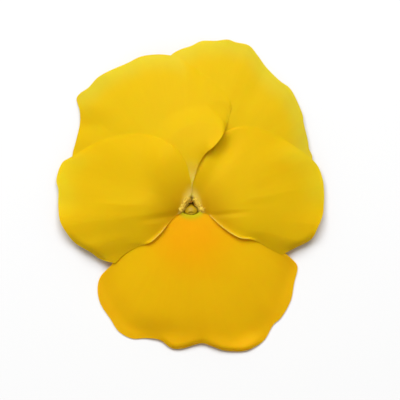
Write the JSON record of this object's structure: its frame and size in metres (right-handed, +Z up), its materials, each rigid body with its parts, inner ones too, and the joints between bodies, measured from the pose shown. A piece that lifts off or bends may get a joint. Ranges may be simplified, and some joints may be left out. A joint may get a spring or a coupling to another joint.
{
  "type": "viola flower",
  "caption": "Yellow viola flower picked and lying face up, with overlapping rounded petals, a bearded throat, green sepals, a nectar spur and a short stalk behind.",
  "frame": {"origin": "on the surface the flower lies on, below the middle of its bounding box", "axes": "+Z up out of the flower's face, +Y towards the upper petals, +X to the right seen from above"},
  "size_m": [0.0403, 0.0464, 0.0084],
  "materials": {
    "petal_yellow": "velvety yellow petal",
    "petal_deep_yellow": "velvety orange-yellow petal",
    "sepal_green": "waxy green leaf",
    "stalk_green": "smooth pale green stalk",
    "anther_brown": "dry orange-brown",
    "stigma_olive": "moist olive yellow"
  },
  "bodies": {
    "root": {"upper_petal_right": "petal_yellow", "upper_petal_left": "petal_yellow", "lateral_petal_right": "petal_yellow", "lateral_petal_left": "petal_yellow", "lower_petal": "petal_deep_yellow", "sepal_top": "sepal_green", "sepal_upper_left": "sepal_green", "sepal_upper_right": "sepal_green", "sepal_lower_left": "sepal_green", "sepal_lower_right": "sepal_green", "stalk": "stalk_green", "stamen_1": "anther_brown", "stamen_2": "anther_brown", "stamen_3": "anther_brown", "stamen_4": "anther_brown", "stamen_5": "anther_brown", "pistil": "stigma_olive"}
  },
  "joints": []
}
